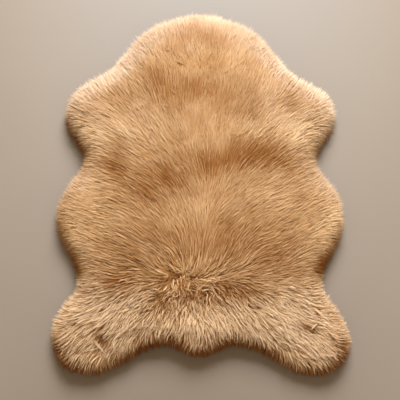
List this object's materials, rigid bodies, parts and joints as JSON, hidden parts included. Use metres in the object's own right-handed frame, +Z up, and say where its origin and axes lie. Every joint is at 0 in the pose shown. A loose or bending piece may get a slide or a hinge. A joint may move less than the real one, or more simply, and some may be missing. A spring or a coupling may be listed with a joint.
{
  "type": "pelt-shaped fur rug",
  "caption": "Pelt-shaped shaggy fur floor rug with a rounded head, drawn-in waists, spread leg lobes and a small tail lobe, lying flat.",
  "frame": {"origin": "middle of the rug's overall length and width, on the floor plane", "axes": "+Y toward the head, along the length; +X across the width; +Z up out of the pile"},
  "size_m": [0.7508, 0.896, 0.058],
  "materials": {
    "fur": "soft golden-tan shaggy pile with paler tips and darker roots"
  },
  "bodies": {
    "root": {"fur_rug": "fur"}
  },
  "joints": []
}
